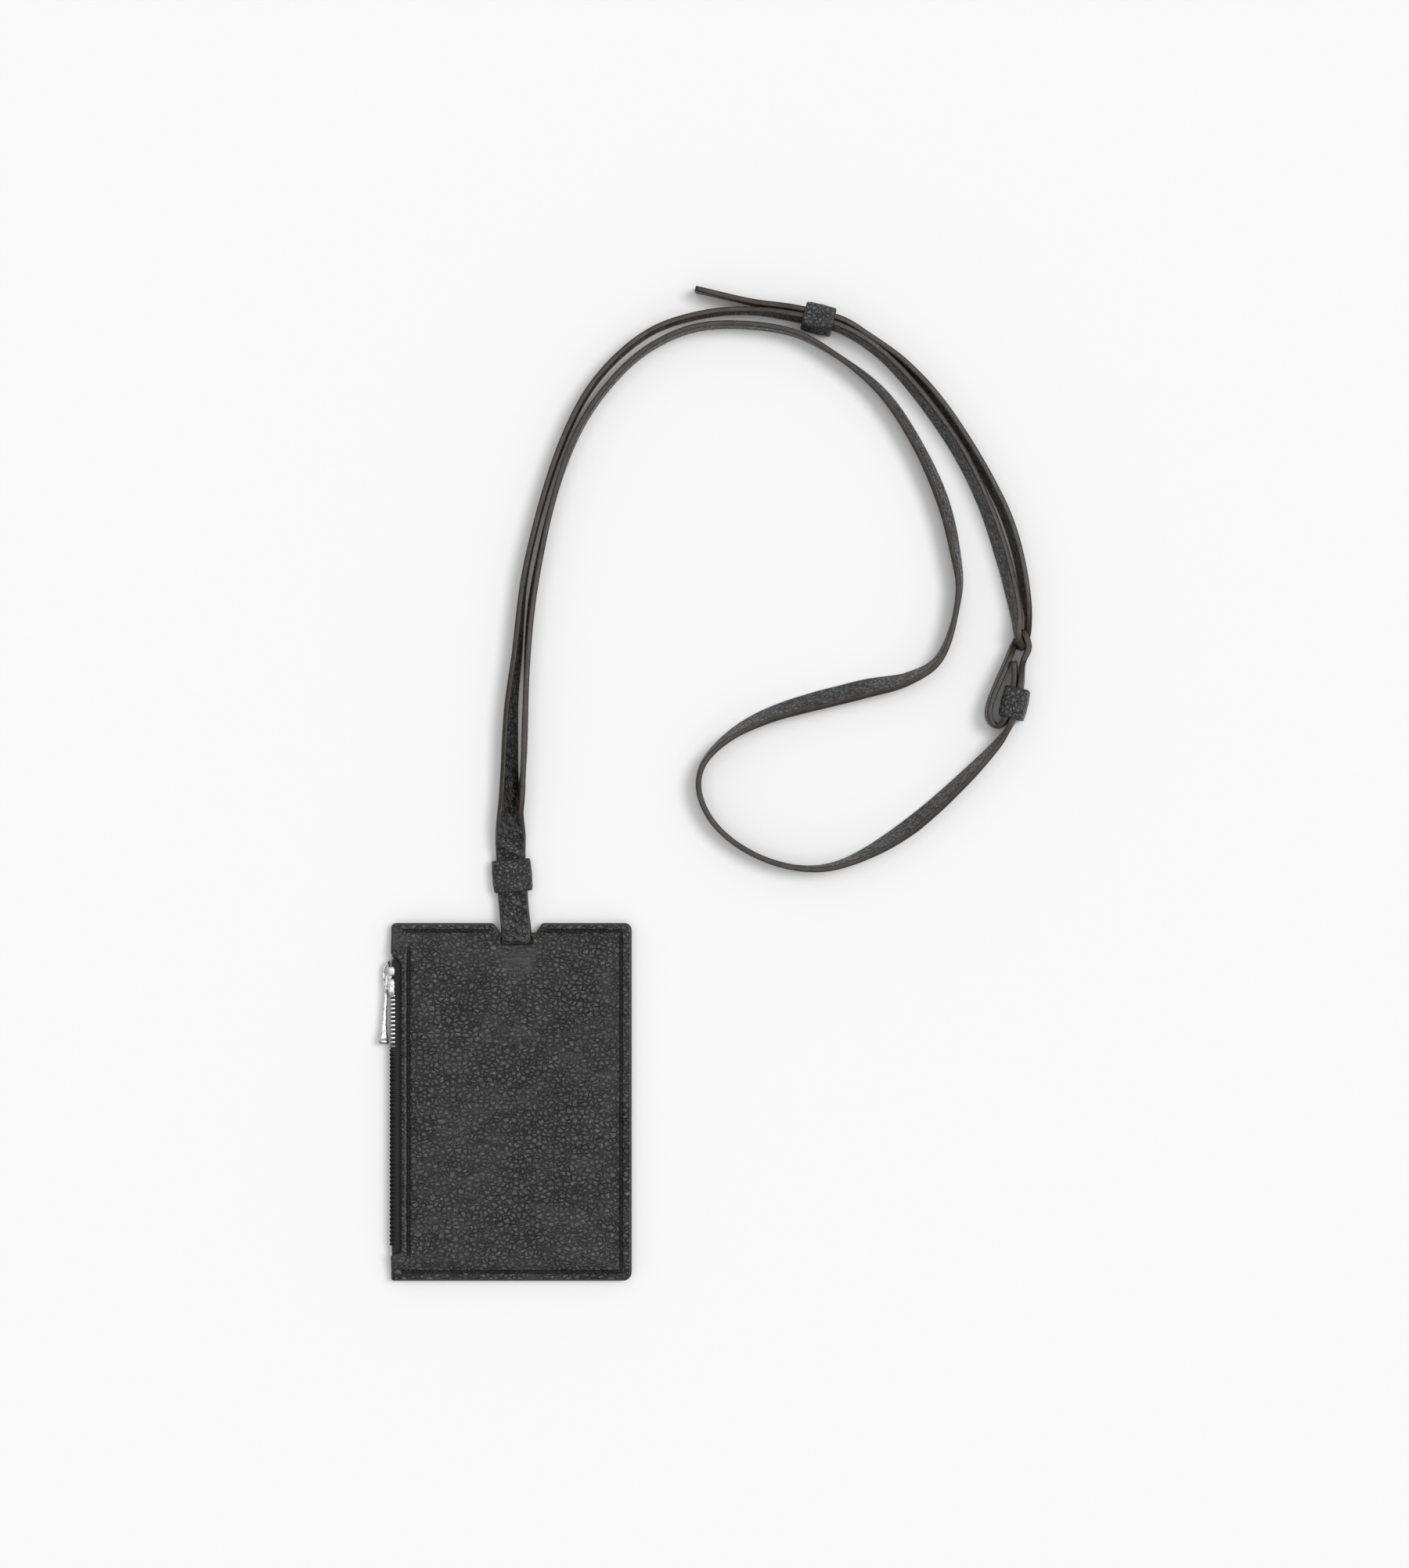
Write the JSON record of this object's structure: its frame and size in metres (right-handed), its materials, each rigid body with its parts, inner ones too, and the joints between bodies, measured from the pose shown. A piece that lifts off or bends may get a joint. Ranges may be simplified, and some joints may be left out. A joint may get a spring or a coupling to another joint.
{
  "type": "neck pouch wallet",
  "caption": "Slim flat leather neck pouch with a side zip, hung on one long flat leather strap that threads a slit at the top and is adjusted with sliding leather keepers.",
  "frame": {"origin": "middle of the pouch's back face, in the plane of the surface the pouch lies on", "axes": "+X to the pouch's right seen from the front, +Y towards its top edge and the strap, +Z out of its front"},
  "size_m": [0.2169, 0.3309, 0.0132],
  "materials": {
    "leather": "pebbled black leather, satin",
    "strap_leather": "smooth black leather strip with painted edges",
    "lining": "woven lining, matte",
    "zip_tape": "woven black tape, matte",
    "zip_teeth": "black zip teeth",
    "zip_metal": "polished nickel plate"
  },
  "bodies": {
    "pouch": {"front_panel": "leather", "back_panel": "leather", "lining_front": "lining", "lining_back": "lining", "zip_tape_front": "zip_tape", "zip_tape_back": "zip_tape", "zip_teeth_front": "zip_teeth", "zip_teeth_back": "zip_teeth", "zip_top_stop_front": "zip_teeth", "zip_top_stop_back": "zip_teeth", "zip_bottom_stop": "zip_teeth", "strap": "strap_leather"},
    "slider": {"zip_slider": "zip_metal", "zip_slider_crown": "zip_metal"},
    "puller": {"zip_puller": "zip_metal"},
    "pouch_keeper": {"keeper_pouch": "strap_leather"},
    "tail_keeper": {"keeper_tail": "strap_leather"},
    "adjuster_keeper": {"keeper_adjuster": "strap_leather"}
  },
  "joints": [
    {"name": "zip_slide", "type": "slide", "parent": "pouch", "child": "slider", "axis": [0, -1, 0], "range_m": [0, 0.08], "deforming": ["zip_teeth_front", "zip_teeth_back"]},
    {"name": "puller_swing", "type": "hinge", "parent": "slider", "child": "puller", "pos_m": [-0.0414, 0.0425, 0.00355], "axis": [0, 0, -1], "range_deg": [0, 170]},
    {"name": "keeper_pouch_slide", "type": "slide", "parent": "pouch", "child": "pouch_keeper", "axis": [-0.0802, 0.9968, 0], "range_m": [-0.003, 0.001]},
    {"name": "keeper_tail_slide", "type": "slide", "parent": "pouch", "child": "tail_keeper", "axis": [0.9703, -0.2419, 0], "range_m": [-0.002, 0.002]},
    {"name": "keeper_adjuster_slide", "type": "slide", "parent": "pouch", "child": "adjuster_keeper", "axis": [0.2317, 0.9728, 0], "range_m": [-0.001, 0.001]}
  ]
}
